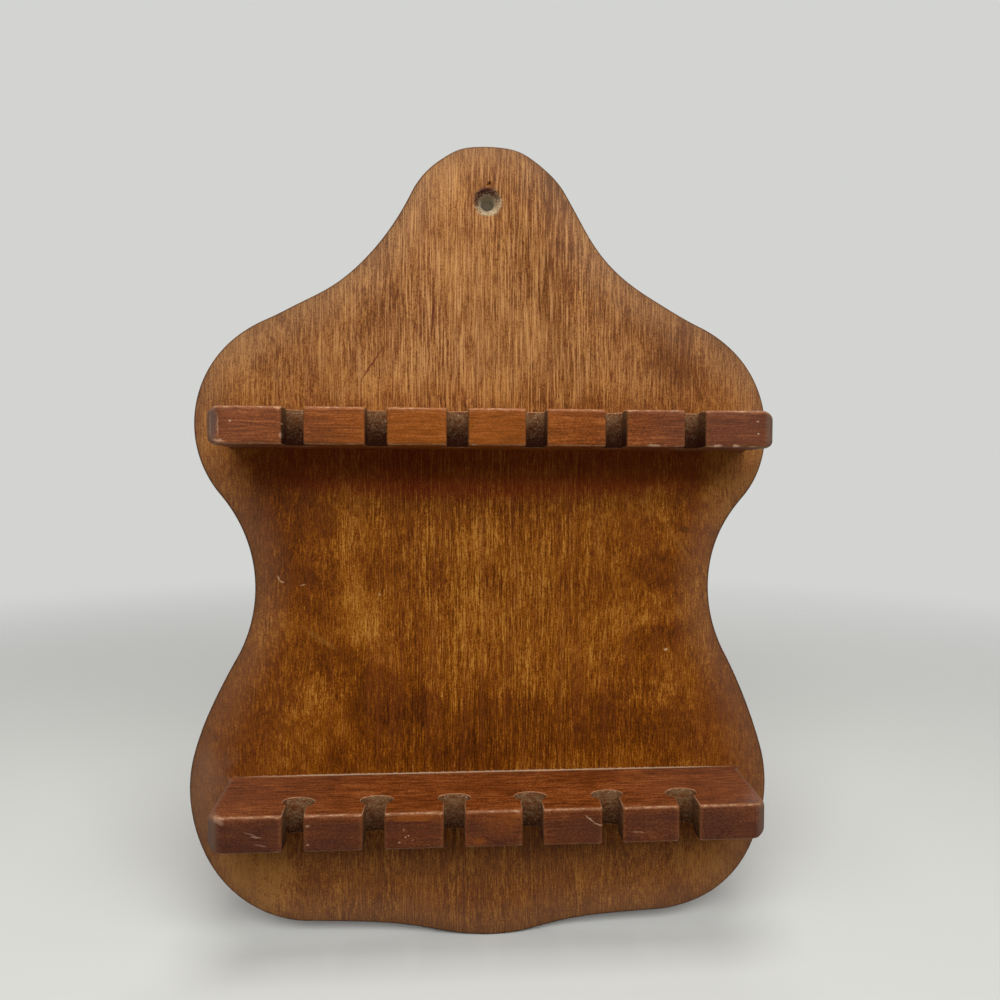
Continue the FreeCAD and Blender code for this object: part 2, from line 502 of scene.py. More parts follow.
def ramp(tree, tone, tones):
    """Colour of a tone, between listed tones and their colours."""
    node = add(tree, "ValToRGB", {0: tone})
    elements = node.color_ramp.elements
    for position, _ in tones[1:-1]:
        elements.new(position)
    for element, (position, colour) in zip(elements, tones):
        element.position = position
        element.color = linear(colour)
    return node


def oval(tree, place, centre, half, lean, strength, rim=1.0, core=0.4):
    """How far a place lies in an oval that leans about Y: strength in its core, and 0 from its rim on."""
    spot = add(tree, "Mapping", {
        "Vector": place, "Location": tuple(size * mm for size in centre),
        "Rotation": (0.0, math.radians(-lean), 0.0), "Scale": tuple(size * mm for size in half)},
        vector_type="TEXTURE")
    far = add(tree, "VectorMath", {0: spot}, operation="LENGTH")
    return add(tree, "MapRange", {"Value": far.outputs["Value"], "From Min": rim, "From Max": core,
                                  "To Max": strength}, interpolation_type="SMOOTHSTEP")


# Patches where more or less stain soaked in, and patches of painted shade and light near the rails: x, z,
# half width, half height, lean, and how much darker
stain_light_and_shade_patches = [
    (-72, -146, 20, 11, -30, 0.14),
    (-58, -169, 15, 7, -30, 0.12),
    (-74, -118, 16, 17, 0, 0.17),
    # Painted shade in the upper rail's shadow
    (0, -114, 40, 9, 0, 0.05),
    (-30, -104, 10, 12, 0, 0.05),
    (-39, -186, 18, 10, -10, 0.18),
    (-86, -152, 8, 16, 0, -0.10),
    (-94, -198, 11, 20, 0, 0.10),
    # Painted shade on the board just above the lower rail
    (-20, -210, 44, 7, 0, 0.08),
    (62, -172, 12, 14, 0, 0.08),
    (82, -153, 9, 18, 0, -0.12),
    # Painted light under the two ends of the upper rail
    (97, -103, 16, 16, 0, -0.26),
    (-99, -101, 12, 14, 0, -0.15),
    (54, -42, 46, 10, -42, 0.14),
    (-92, -56, 18, 16, 0, -0.05),
    # Painted light under the two ends of the lower rail
    (-91, -257, 20, 20, 0, -0.34),
    (89, -249, 16, 15, 0, -0.20),
    (3, -260, 14, 12, 0, 0.08),
    (54, -146, 26, 24, 30, 0.04),
    (67, -140, 13, 8, -20, 0.14),
    (75, -164, 7, 6, 0, 0.12),
    (56, -156, 14, 7, 0, -0.12),
    (65, -109, 4, 12, 0, -0.12),
    (43, -126, 8, 15, 0, -0.07),
    (-75, -51, 8, 10, 0, 0.07),
    (-80, -64, 7, 8, 0, 0.05),
    (-80, -42, 4, 10, 0, -0.12),
    (80, -56, 22, 16, 30, 0.08),
    (21, 6, 9, 15, 0, 0.12),
    (-16, 4, 7, 14, 0, -0.10),
    (24, -32, 6, 14, 0, 0.08),
    (-48, -33, 9, 9, 0, -0.10),
    (-28, -44, 20, 12, 0, 0.06),
    (14, -52, 16, 12, 0, -0.07),
    (-45, -44, 10, 12, 0, 0.06),
    # Painted light on the board just above the upper rail
    (0, -68, 85, 7, 0, -0.08),
    (6, -152, 30, 34, 0, -0.08),
    (-62, -192, 12, 15, 0, -0.12),
    (-46, -153, 8, 12, 20, -0.14),
    (-11, -32, 7, 38, 0, -0.10),
    # Painted shade on the board above the lower rail
    (10, -198, 90, 13, 0, 0.13),
    (0, -255, 100, 24, 0, -0.05),
]
# Marks of use: colour, strength, x, z, half length, half width, lean
board_marks = [
    ("#4f1a12", 0.8, -20.2, -43, 10.5, 0.6, 86),
    ("#56200f", 0.75, -42.7, -60.8, 11, 0.55, 56),
    ("#b98f66", 0.8, -77.2, -140.6, 1.3, 0.4, -62),
    ("#b98f66", 0.8, -76.2, -141.9, 1.2, 0.4, -20),
    ("#b98f66", 0.6, -68.4, -143.2, 1.4, 0.35, 10),
    ("#99662a", 0.3, -62, -163.5, 10, 1.3, -34),
    ("#99662a", 0.3, 74, -127.5, 13, 1.2, -56),
    ("#4a2408", 0.5, 77.7, -130.5, 4.4, 0.5, -49),
    ("#3a1808", 0.6, 76.2, -122.6, 2.8, 2.0, 0),
    ("#c9a27c", 0.8, 69.6, -168.8, 1.0, 0.6, 20),
    ("#c9a27c", 0.8, 29.4, 9.5, 0.6, 0.5, 0),
    ("#c9a27c", 0.8, -40, -147, 0.5, 0.5, 0),
    # A pale line along the back of the lower rail
    *(("#d2b798", 0.6, x, -215.1, 50, 0.5, 0) for x in (-51, 1.4, 54)),
]
# Patches and marks are on the front alone, so they reach this far into the board
front_depth = 6.0


def stained_birch():
    """Flat-sawn birch, wiped with brown stain and varnished: hair-fine golden and brown lines along the
    grain, which give way to mottles beside the middle, cloudy patches where the stain soaked in, patches of
    painted shade and light near the rails, an upper part paler with fading and with painted sheen, a dark
    red painted shadow under the upper rail, dusty redder margins, a dark rim partly of painted shade and a
    satin sheen."""
    material, tree, place = new_material("stained_varnished_birch")
    bent = stray(tree, place, (40, 40, 70), (2.5, 2.5, 0))
    ragged = stray(tree, place, (9, 9, 9), (22, 0, 22), 4.0)
    # Cell sizes across, through and along the board. The lines are drawn coarser than they are, to show.
    grain = noise_layers(tree, bent, {
        "cloud": ((20, 20, 26), 4.0, 0.6),
        "mottle": ((5, 5, 6), 2.0, 0.6),
        "streak": ((1.3, 1.3, 50), 2.0, 0.5),
        "fine": ((0.38, 0.38, 15), 0.0, 0.5),
        "dash": ((0.42, 0.42, 3.4), 0.0, 0.5),
        "speckle": ((0.4, 0.4, 0.7), 0.0, 0.5),
        "red": ((2.6, 2.6, 70), 1.0, 0.5),
    })
    tone = 0.5
    # Stain patches, and painted shade and light near the rails
    for x, z, half_width, half_height, lean, darker in stain_light_and_shade_patches:
        stain_light_and_shade = oval(tree, ragged, (x, board_front, z), (half_width, front_depth, half_height), lean, darker,
                      rim=1.3, core=0.55)
        tone = add(tree, "Math", {0: stain_light_and_shade, 1: tone}, operation="ADD")
    # The lines fade towards the sides, most below the shoulders, and towards the foot, and mottles take
    # their place
    spot = add(tree, "SeparateXYZ", {0: ragged})
    aside = add(tree, "Math", {0: spot.outputs["X"]}, operation="ABSOLUTE")
    down = add(tree, "MapRange", {"Value": spot.outputs["Z"], "From Min": -70 * mm, "From Max": -115 * mm})
    figured = add(tree, "MapRange", {
        "Value": aside, "From Min": 28 * mm, "From Max": 60 * mm, "To Max": 0.8})
    most = add(tree, "MapRange", {"Value": down, "To Min": 0.65})
    figured = add(tree, "Math", {0: figured, 1: most}, operation="MULTIPLY")
    low = add(tree, "MapRange", {
        "Value": spot.outputs["Z"], "From Min": -225 * mm, "From Max": -250 * mm, "To Max": 0.3})
    figured = add(tree, "Math", {0: figured, 1: low}, operation="MAXIMUM")
    lined = add(tree, "Math", {0: 1.0, 1: figured}, operation="SUBTRACT")
    for share, weights in ((lined, {"streak": 0.4, "fine": 0.68}), (figured, {"mottle": 0.55})):
        swing = swayed(tree, 0.0, grain, weights)
        tone = add(tree, "Math", {0: swing, 1: share, 2: tone}, operation="MULTIPLY_ADD")
    tone = swayed(tree, tone, grain, {"cloud": 0.5, "dash": 0.6, "speckle": 0.5})
    colour = ramp(tree, tone, ((0.1, "#b37930"), (0.4, "#884c0c"), (0.6, "#683404"), (0.95, "#3c1902")))
    redder = add(tree, "MapRange", {"Value": grain["red"], "From Min": 0.45, "From Max": 0.7, "To Max": 0.3})
    colour = paint(tree, redder, colour, "#6b3216")
    # The upper part is paler, most on its light lines, partly faded and partly painted sheen, and a dark red
    # painted shadow lies under the upper rail. The foot is a little greyer, and the sides below the shoulders
    # are redder, where the stain was wiped on twice
    upper = add(tree, "MapRange", {"Value": spot.outputs["Z"], "From Min": -95 * mm, "From Max": -60 * mm})
    # Paler upper part: partly faded stain, partly painted sheen
    pale = add(tree, "MapRange", {
        "Value": tone, "From Min": 0.3, "From Max": 0.7, "To Min": 0.5, "To Max": 0.1})
    faded_and_sheen = add(tree, "Math", {0: upper, 1: pale}, operation="MULTIPLY")
    colour = paint(tree, faded_and_sheen, colour, "#9c744a")
    hairs = add(tree, "MapRange", {"Value": grain["fine"], "From Min": 0.46, "From Max": 0.3, "To Max": 0.42})
    hairs = add(tree, "Math", {0: hairs, 1: upper}, operation="MULTIPLY")
    hairs = add(tree, "Math", {0: hairs, 1: lined}, operation="MULTIPLY")
    colour = paint(tree, hairs, colour, "#c6925e")
    # Painted shadow, dark red, under the upper rail
    painted_rail_shadow = oval(tree, place, (2, board_front, -98), (120, front_depth, 16), 0, 0.45, core=0.6)
    colour = paint(tree, painted_rail_shadow, colour, "#742006")
    # The foot is a little greyer
    greyer = add(tree, "MapRange", {
        "Value": spot.outputs["Z"], "From Min": -230 * mm, "From Max": -245 * mm, "To Max": 0.2})
    colour = paint(tree, greyer, colour, "#80604e")
    side = add(tree, "MapRange", {"Value": aside, "From Min": 58 * mm, "From Max": 108 * mm,
                                  "To Max": 0.45}, interpolation_type="SMOOTHSTEP")
    side = add(tree, "Math", {0: side, 1: down}, operation="MULTIPLY")
    colour = paint(tree, side, colour, "#69381c")
    settled = oval(tree, ragged, (-104, board_front, -222), (14, front_depth, 26), 0, 0.25)
    colour = paint(tree, settled, colour, "#7d6352")
    margin = add(tree, "Attribute", attribute_name="margin").outputs["Fac"]
    greyed = add(tree, "Math", {0: margin, 1: 0.2}, operation="MULTIPLY")
    colour = paint(tree, greyed, colour, "#8c745e")
    pores = add(tree, "MapRange", {
        "Value": grain["speckle"], "From Min": 0.62, "From Max": 0.75, "To Max": 0.2})
    colour = paint(tree, pores, colour, "#401c03")
    # The sawn edge drank more stain, and its rounding is darkened further with painted shade
    edge = add(tree, "Attribute", attribute_name="edge").outputs["Fac"]
    edge_stain_and_shade = add(tree, "Math", {0: edge, 1: 0.75}, operation="MULTIPLY")
    colour = paint(tree, edge_stain_and_shade, colour, "#3e2819")
    # Worn hole: pale crumbly wood, darker to its upper left with grime and painted shade, round a bore of
    # dull bare wood
    crumbs = add(tree, "TexNoise", {
        "Vector": place, "Scale": 1 / (0.6 * mm), "Detail": 3.0, "Roughness": 0.8})
    torn = add(tree, "Math", {0: crumbs, 1: 0.5}, operation="SUBTRACT")
    flat = add(tree, "VectorMath", {0: place, 1: (1.0, 0.0, 1.0)}, operation="MULTIPLY")
    reach = add(tree, "VectorMath", {0: flat}, operation="LENGTH")
    reach = add(tree, "Math", {0: torn, 1: 3 * mm, 2: reach.outputs["Value"]}, operation="MULTIPLY_ADD")
    hole = add(tree, "MapRange", {
        "Value": reach, "From Min": (cone_r + 0.8) * mm, "From Max": (cone_r - 0.2) * mm})
    deep = add(tree, "SeparateXYZ", {0: place})
    front = add(tree, "MapRange", {"Value": deep.outputs["Y"], "From Min": -0.2 * mm, "From Max": -0.6 * mm})
    hole = add(tree, "Math", {0: hole, 1: front}, operation="MULTIPLY")
    # Grime and painted shade, deepest to the upper left
    upper_left = add(tree, "VectorMath", {0: place, 1: (-0.45, 0.0, 0.9)}, operation="DOT_PRODUCT")
    grime_and_shade = add(tree, "Math", {
        0: torn, 1: 34 * mm, 2: upper_left.outputs["Value"]}, operation="MULTIPLY_ADD")
    grime_and_shade = add(tree, "MapRange", {"Value": grime_and_shade, "From Min": -4.5 * mm, "From Max": 5 * mm})
    crumbly = ramp(tree, grime_and_shade, ((0.0, "#a39174"), (0.35, "#7f694b"), (0.6, "#5e3c2c"), (1.0, "#41221c")))
    bore_front = board_front + cone_depth
    bore = add(tree, "MapRange", {"Value": deep.outputs["Y"], "From Min": (bore_front - 0.3) * mm,
                                  "From Max": (bore_front + 0.3) * mm})
    ring = add(tree, "MapRange", {
        "Value": reach, "From Min": (hole_r + 1.0) * mm, "From Max": (hole_r + 0.4) * mm, "To Max": 0.8})
    crumbly = paint(tree, ring, crumbly, "#a8977c")
    crumbly = paint(tree, bore, crumbly, "#a89f88")
    colour = paint(tree, hole, colour, crumbly)
    # Scratches, chips and dust
    scratched = stray(tree, place, (1.2, 1.2, 1.2), (1.0, 0, 0.7))
    for mark, strength, x, z, half_length, half_width, lean in board_marks:
        share = oval(tree, scratched, (x, board_front, z), (half_length, front_depth, half_width), lean,
                     strength)
        colour = paint(tree, share, colour, mark)
    sheen = add(tree, "MapRange", {"Value": grain["cloud"], "To Min": 0.42, "To Max": 0.62})
    relief = add(tree, "Math", {0: grain["fine"], 1: grain["dash"]}, operation="ADD")
    bump = add(tree, "Bump", {"Height": relief, "Strength": 0.25, "Distance": 0.1 * mm}, invert=True)
    wood = add(tree, "BsdfPrincipled", {
        "Base Color": colour, "Roughness": sheen, "IOR": 1.5, "Specular IOR Level": 0.06, "Normal": bump})
    add(tree, "OutputMaterial", {"Surface": wood})
    return material


outline = board_outline(outline_points)
outline_way = np.roll(outline, -1) - np.roll(outline, 1)
board_inward = -1j * outline_way / abs(outline_way)
waver = saw_waver * wander(np.arange(outline_points) / outline_points, np.arange(3, 17), seed=11)
sawn = outline + board_inward * (waver - slip(outline, saw_slips))
board_plan, board_depth, board_side = slab_rows(
    sawn, board_inward, (board_front, 0.0), ((front_arris, front_arris), (back_arris, back_arris)),
    face_rings=(margin_width, rim_width))
board_edge = np.clip(edge_darkening * board_side, 0, 1)
board_edge[2:-2] = np.maximum(board_edge[2:-2], rim_darkening)
board_margin = np.ones_like(board_side)
board_margin[[1, -2]] = 1 - rim_width / margin_width
board_margin[[0, -1]] = 0
board_mesh = grid_mesh("back_board_wood", np.stack([board_plan.real, board_depth, board_plan.imag], axis=-1))
set_shades(board_mesh, {"edge": board_edge, "margin": board_margin})
board = new_object(board_mesh, stained_birch())
board_cuts = [hanging_hole(), chip_above_hole()]
for rail in screw_nodes:
    board_cuts += [screw_hole(x, z) for x, z in screw_places(rail)]
cut(board, board_cuts)
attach(board, "root")
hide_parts("back_board")

# Wall behind the hole
# A small disc close behind the board, which shows through the hanging hole from the front. It glows
# with painted shade, the colour of a dull wall in the rack's shade. It is part of the stage and not of
# the rack.
wall_r = 9.0
wall_middle_r = 0.5
wall_gap = 0.8


def shaded_wall():
    """Painted shade: a disc that glows with the colour of a dull painted wall in the rack's shade, and takes
    no light. It shows from the front only.
    """
    material, tree, place = new_material("glowing_wall_shade")
    mottle = add(tree, "TexNoise", {"Vector": place, "Scale": 1 / (2 * mm)})
    wall = add(tree, "Emission", {"Color": paint(tree, mottle, "#4e4436", "#665a48")})
    clear = add(tree, "BsdfTransparent")
    behind = add(tree, "NewGeometry").outputs["Backfacing"]
    mixed = add(tree, "MixShader", {0: behind, 1: wall, 2: clear})
    add(tree, "OutputMaterial", {"Surface": mixed})
    return material


wall_rows = turned_rows([wall_middle_r, wall_r], [wall_gap, wall_gap], 0, 0)
wall = new_object(grid_mesh("wall_behind_hole", wall_rows, fill=(True, False)), shaded_wall())
wall.visible_shadow = False
wall.visible_diffuse = False

# Rails
# Two square bars of stained softwood, glued and screwed to the board. Six slots are sawn into each from
# the front and end in a wider head, where a spoon's handle hangs. Hands wore their edges pale.
rail_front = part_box("upper_rail")[0][1] / mm
slots_per_rail = 6
slot_pitch = 26.9
slot_depth = 14.0
neck_width = 7.0
head_width = 11.2
head_depth = 6.8
head_points = 60
mouth_r = 0.9
rail_corner_r = 7.0
rail_arris = 1.3
end_arris = 3.0
end_spare = 1.0
end_flare = 2.2
# How far in from its ends a bar is rounded by wear, and how far it is greyer
worn_end = 1.5
greyer_end = 3.2
slot_arris = 0.45
mouth_arris = 0.9
back_edge = 0.12
face_ring = 0.1
path_step = 0.36
# Each slot was sawn by eye: how far it lies off its even place, and the lean of its head in degrees
rail_slots = {
    "upper_rail": ((-0.1, 2), (0.1, -2), (0.1, 1), (-0.4, -3), (-0.3, 2), (-0.1, -2)),
    "lower_rail": ((0.3, -9), (0.1, 2), (0.2, -1), (0.0, 1), (0.5, 6), (0.4, 8)),
}
# How far the front of each rail is darkened, with handling grime and with painted shade
front_darkening = {"upper_rail": 0.0, "lower_rail": 0.65}


def arc(centre, radius, start, end, count=16):
    """Points round a centre from one angle to another, in degrees."""
    return centre + radius * np.exp(1j * np.radians(np.linspace(start, end, count)))


def slot_path(x, front, lean):
    """One slot's edge from its left lip to its right one: a rounded lip, a straight neck, an oval head
    turned by its lean, and the same back again. Also 1 inside the slot, falling to 0 along its lips."""
    lip_x = neck_width / 2 + mouth_r
    half_width = head_width / 2
    half_depth = head_depth / 2
    meet = np.pi - math.asin(neck_width / 2 / half_width)
    angle = np.linspace(-meet, meet, head_points)
    head = half_width * np.sin(angle) + 1j * half_depth * np.cos(angle)
    head = head * heading(lean) + 1j * (slot_depth - half_depth)
    left_lip = arc(-lip_x + 1j * mouth_r, mouth_r, -90, 0)
    right_lip = arc(lip_x + 1j * mouth_r, mouth_r, 180, 270)
    path = np.concatenate([left_lip, head, right_lip]) + x + 1j * front
    entry = np.linspace(0, 1, len(left_lip))
    return path, np.concatenate([entry, np.ones(len(head)), entry[::-1]])


def soften(values, reach):
    """Blur values along a closed path by a bell curve of that reach: each wave is damped by its length."""
    waves = np.fft.fftfreq(len(values), path_step)
    soft = np.fft.ifft(np.fft.fft(values) * np.exp(-2 * (np.pi * waves * reach) ** 2))
    return soft if np.iscomplexobj(values) else soft.real


def rail_rows(node, seed):
    """A bar's upright side carried round its plan: the front with its slots, then the ends and the back, at
    even steps. Its ends are sawn a little out of square. Its rounding changes along the path with the wear:
    large at the ends, less on the front, small in the slots and nothing at the glued back."""
    low, high = (np.array(corner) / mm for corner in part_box(node))
    front, back = low[1], high[1]
    middle = (low[0] + high[0]) / 2
    corners = [
        arc(low[0] - end_spare + rail_corner_r + 1j * (front + rail_corner_r), rail_corner_r, 180, 270),
        arc(high[0] + end_spare - rail_corner_r + 1j * (front + rail_corner_r), rail_corner_r, -90, 0),
        np.array([high[0] + end_flare + 1j * back, low[0] - end_flare + 1j * back]),
    ]
    slots = [slot_path(middle + (number - (slots_per_rail - 1) / 2) * slot_pitch + off, front, lean)
             for number, (off, lean) in enumerate(rail_slots[node])]
    first, *others = ((points, np.zeros(len(points))) for points in corners)
    stretches = [first, *slots, *others, (corners[0][:1], np.zeros(1))]
    plan, inside = (np.concatenate(column) for column in zip(*stretches))
    run = np.concatenate([[0], np.cumsum(abs(np.diff(plan)))])
    even = np.linspace(0, run[-1], int(run[-1] / path_step), endpoint=False)
    path = soften(np.interp(even, run, plan.real) + 1j * np.interp(even, run, plan.imag), 0.3)
    inside = soften(np.interp(even, run, inside), 0.6)
    behind = soften((path.imag > back - 0.4).astype(float), 0.5)
    from_end = (high[0] - low[0]) / 2 - abs(path.real - middle)
    end_band = soften((from_end < greyer_end).astype(float), 0.8) * (1 - behind)
    ended = soften((from_end < worn_end).astype(float), 1.5) * (1 - behind)
    way = np.roll(path, -1) - np.roll(path, 1)
    bend = np.angle(np.roll(way, -1) / way) / path_step
    lip = soften(np.clip(bend * mouth_r, 0, 1), 0.8) * (1 - ended) * (1 - behind)
    soft_way = soften(way, 1.3)
    inward = 1j * soft_way / abs(soft_way)
    rub = 0.5 + 0.5 * wander(even / run[-1], np.arange(20, 190, 7), seed)
    wide = rail_arris * (0.6 + 0.8 * rub) * (1 - ended) + end_arris * ended
    mouth = np.clip(3 * soften(lip, 1.8), 0, 1)
    wide = wide * (1 - inside) + (slot_arris + (mouth_arris - slot_arris) * mouth) * inside
    wide = wide * (1 - behind) + back_edge * behind
    tall = wide * (1 + lip)
    plan, level, side = slab_rows(
        path, inward, (low[2], high[2]), ((wide, 0.8 * tall), (wide, tall)), (face_ring,), walls=9)
    # How worn each point is: most on the rounded edges, less beside them and at the slots' lips
    height = (level - low[2]) / (high[2] - low[2])
    edge = 4 * side ** 2 * (1 - side ** 2)
    corner = soften(np.clip(bend * mouth_r, 0, 1), 0.35) * (1 - ended)
    beside = np.exp(-14 * np.minimum(height, 1 - height)) * (1 - inside) + corner
    wear = (edge + 0.35 * np.clip(beside, 0, 1) * (side == 1)) * (1 - behind) * (1 - 0.4 * ended)
    # Grime and painted shade lie on the front, and less of them along the top
    darkened_front = 1 - 0.5 * np.clip((height - 0.7) / 0.15, 0, 1)
    facing = side * np.clip(inward.imag, 0, 1) * (1 - inside) * darkened_front
    shades = {"wear": wear, "slot": side * inside, "grime_and_shade": facing * front_darkening[node], "height": height,
              "end": side * end_band}
    return np.stack([plan.real, plan.imag, level], axis=-1), shades


# Places on the lower front with less grime and painted shade: x, z, half length, half height, strength
lighter_front_places = [
    (-25.5, -216.9, 10, 1.8, 0.4),
    (-3.3, -225.4, 3, 1.8, 0.3),
    (4, -220, 8, 6, 0.2),
]
# Chips, specks and scratches: strength, x, depth behind the front, z, half length, half height, lean
rail_marks = [
    (0.3, -89.8, 0.3, -216.4, 3.0, 1.5, -25),
    (0.35, -77.2, 0.0, -222.2, 2.4, 0.4, -8),
    (0.2, -79.6, 0.0, -221.0, 2.6, 0.35, -20),
    (0.2, -76.0, 0.0, -225.0, 3.0, 0.4, -12),
    (0.6, 34.2, 0.0, -219.0, 2.6, 0.35, -40),
    (0.6, 37.6, 0.0, -221.2, 3.0, 0.3, -22),
    (0.3, 51.0, 0.0, -224.0, 3.0, 0.3, -3),
    (0.4, -60.6, 0.2, -218.9, 0.8, 0.6, 0),
    (0.3, -60.4, 0.2, -225.2, 0.8, 0.6, 0),
    (0.5, -28.6, 0.0, -221.0, 0.4, 0.35, 0),
    (0.7, -28.2, 0.0, -223.6, 0.4, 0.35, 0),
    (0.7, -27.0, 0.0, -223.1, 0.4, 0.35, 0),
    (0.5, -30.2, 0.0, -225.2, 0.4, 0.35, 0),
    (0.5, -25.8, 0.0, -224.6, 0.4, 0.35, 0),
    (0.7, -84.9, 0.0, -84.8, 0.5, 0.4, 0),
    (0.3, -88.8, 0.4, -86.2, 5.0, 0.4, 90),
    (0.3, -91.6, 2.3, -86.0, 5.0, 0.4, 90),
    (0.5, -88.6, 0.6, -91.2, 2.6, 0.7, -6),
    (0.5, -68.8, 0.4, -89.4, 0.5, 1.3, 0),
    (0.6, -68.5, 0.4, -85.6, 0.5, 0.5, 0),
    (0.8, 77.0, 0.5, -91.9, 1.8, 0.7, 0),
    (0.8, 83.5, 0.5, -91.9, 1.6, 0.7, 0),
    (0.7, 55.0, 0.5, -91.9, 3.0, 0.6, 0),
    (0.7, 91.0, 0.2, -83.5, 0.5, 0.4, 0),
    (0.7, 91.2, 0.2, -87.6, 0.5, 0.4, 0),
]


def stained_softwood():
    """Close-grained softwood sawn along the grain, stained red-brown and varnished: fine dark lines and
    specks run along the bar, its handled edges are rubbed and chipped to pale wood, its ends are greyer,
    its front is darker with grime and painted shade, and the sawn slots are dull and full of grime, and
    darker below with painted shade."""
    material, tree, place = new_material("stained_varnished_softwood")
    bent = stray(tree, place, (40, 16, 16), (0, 3, 3))
    # Cell sizes along, through and up the bar. The lines are drawn coarser than they are, to show.
    grain = noise_layers(tree, bent, {
        "cloud": ((22, 14, 9), 3.0, 0.6),
        "growth": ((30, 1.1, 0.75), 1.0, 0.5),
        "line": ((6, 0.8, 0.5), 0.0, 0.5),
        "speckle": ((0.7, 0.6, 0.45), 1.0, 0.6),
        "rub": ((2.4, 1.2, 1.2), 4.0, 0.75),
    })
    tone = swayed(tree, 0.5, grain, {"cloud": 0.5, "growth": 0.5, "line": 0.55, "speckle": 0.85})
    colour = ramp(tree, tone, ((0.15, "#95562a"), (0.42, "#763c17"), (0.6, "#602e0e"), (0.9, "#361607")))
    # Bars are greyer towards their ends. The upper one's middle is more orange and its right end darker
    spot = add(tree, "SeparateXYZ", {0: place})
    aside = add(tree, "Math", {0: spot.outputs["X"]}, operation="ABSOLUTE")
    middle = oval(tree, place, (-12, -30, -86), (80, 40, 30), 0, 0.3, core=0.0)
    colour = paint(tree, middle, colour, "#a65c02")
    grey = add(tree, "MapRange", {"Value": aside, "From Min": 40 * mm, "From Max": 95 * mm, "To Max": 0.3})
    colour = paint(tree, grey, colour, "#704b3c")
    dark_end = oval(tree, place, (84, rail_front, -86), (40, 14, 20), 0, 0.4)
    colour = paint(tree, dark_end, colour, "#4a2a20")
    # Fronts are darker in patches, with handling grime and with painted shade
    darkened_front = add(tree, "Attribute", attribute_name="grime_and_shade").outputs["Fac"]
    patchy = add(tree, "MapRange", {
        "Value": grain["cloud"], "From Min": 0.3, "From Max": 0.6, "To Min": 0.55, "To Max": 1.2})
    grime_and_shade_share = add(tree, "Math", {0: darkened_front, 1: patchy}, operation="MULTIPLY")
    outward = add(tree, "MapRange", {
        "Value": aside, "From Min": 20 * mm, "From Max": 75 * mm, "To Min": 1.0, "To Max": 1.5})
    grime_and_shade_share = add(tree, "Math", {0: grime_and_shade_share, 1: outward}, operation="MULTIPLY", use_clamp=True)
    grained = add(tree, "MapRange", {"Value": grain["speckle"], "From Min": 0.3, "From Max": 0.7})
    grime_and_shade_colour = paint(tree, grained, "#5a3322", "#402015")
    colour = paint(tree, grime_and_shade_share, colour, grime_and_shade_colour)
    # A darker patch on the lower front, of grime and painted shade
    grime_and_shade_patch = oval(tree, place, (-58, rail_front, -224), (52, 6, 9), 0, 0.3)
    colour = paint(tree, grime_and_shade_patch, colour, "#40221a")
    # Some of the lower front has less grime and painted shade
    for x, z, half_length, half_height, strength in lighter_front_places:
        less_darkened = oval(tree, bent, (x, rail_front, z), (half_length, 3, half_height), 0, strength)
        colour = paint(tree, less_darkened, colour, "#94501a")
    # Ends are greyer, with a band of painted shade on the upper left one
    end = add(tree, "Attribute", attribute_name="end").outputs["Fac"]
    greyer = add(tree, "Math", {0: end, 1: 0.55}, operation="MULTIPLY")
    colour = paint(tree, greyer, colour, "#726053")
    painted_shade_band = oval(tree, place, (-90.3, rail_front + 1.3, -85.6), (1.8, 6, 6), 0, 0.5)
    colour = paint(tree, painted_shade_band, colour, "#54433f")
    # Slots: dull grime, with painted shade that leaves them darkest below and in the upper rail and lighter
    # near the top, with crumbs of pale dust near the top
    slot = add(tree, "Attribute", attribute_name="slot").outputs["Fac"]
    inner = add(tree, "MapRange", {"Value": slot, "From Min": 0.5, "From Max": 0.85})
    height = add(tree, "Attribute", attribute_name="height").outputs["Fac"]
    shade_lift = add(tree, "MapRange", {
        "Value": spot.outputs["Z"], "From Min": -150 * mm, "From Max": -160 * mm, "To Max": 0.25})
    shade_lift = add(tree, "Math", {0: shade_lift, 1: height}, operation="ADD")
    dirt_and_shade = add(tree, "Math", {0: grain["speckle"], 1: 1.4, 2: shade_lift}, operation="MULTIPLY_ADD")
    dirt_and_shade = add(tree, "MapRange", {"Value": dirt_and_shade, "From Min": 0.9, "From Max": 1.75})
    stained = add(tree, "MapRange", {"Value": grain["rub"], "From Min": 0.4, "From Max": 0.6})
    dust_and_light = paint(tree, stained, "#7d5e40", "#63381c")
    dirt_and_shade = paint(tree, dirt_and_shade, "#2b0f03", dust_and_light)
    crumbs = add(tree, "Math", {0: grain["speckle"], 1: 3.0, 2: height}, operation="MULTIPLY_ADD")
    crumbs = add(tree, "MapRange", {"Value": crumbs, "From Min": 2.85, "From Max": 3.05, "To Max": 0.7})
    dirt_and_shade = paint(tree, crumbs, dirt_and_shade, "#b8a88c")
    colour = paint(tree, inner, colour, dirt_and_shade)
    # Edges: rubbed to a lighter brown, and bare and pale where they are chipped
    wear = add(tree, "Attribute", attribute_name="wear").outputs["Fac"]
    rubbed = add(tree, "MapRange", {"Value": wear, "From Min": 0.1, "From Max": 1.0, "To Max": 0.5})
    colour = paint(tree, rubbed, colour, "#976644")
    rub = add(tree, "Math", {0: grain["rub"], 1: 0.5}, operation="SUBTRACT")
    bare = add(tree, "Math", {0: rub, 1: 2.2, 2: wear}, operation="MULTIPLY_ADD")
    bare = add(tree, "MapRange", {
        "Value": bare, "From Min": 0.75, "From Max": 1.25, "To Max": 0.85}, interpolation_type="SMOOTHSTEP")
    colour = paint(tree, bare, colour, "#b18a6a")
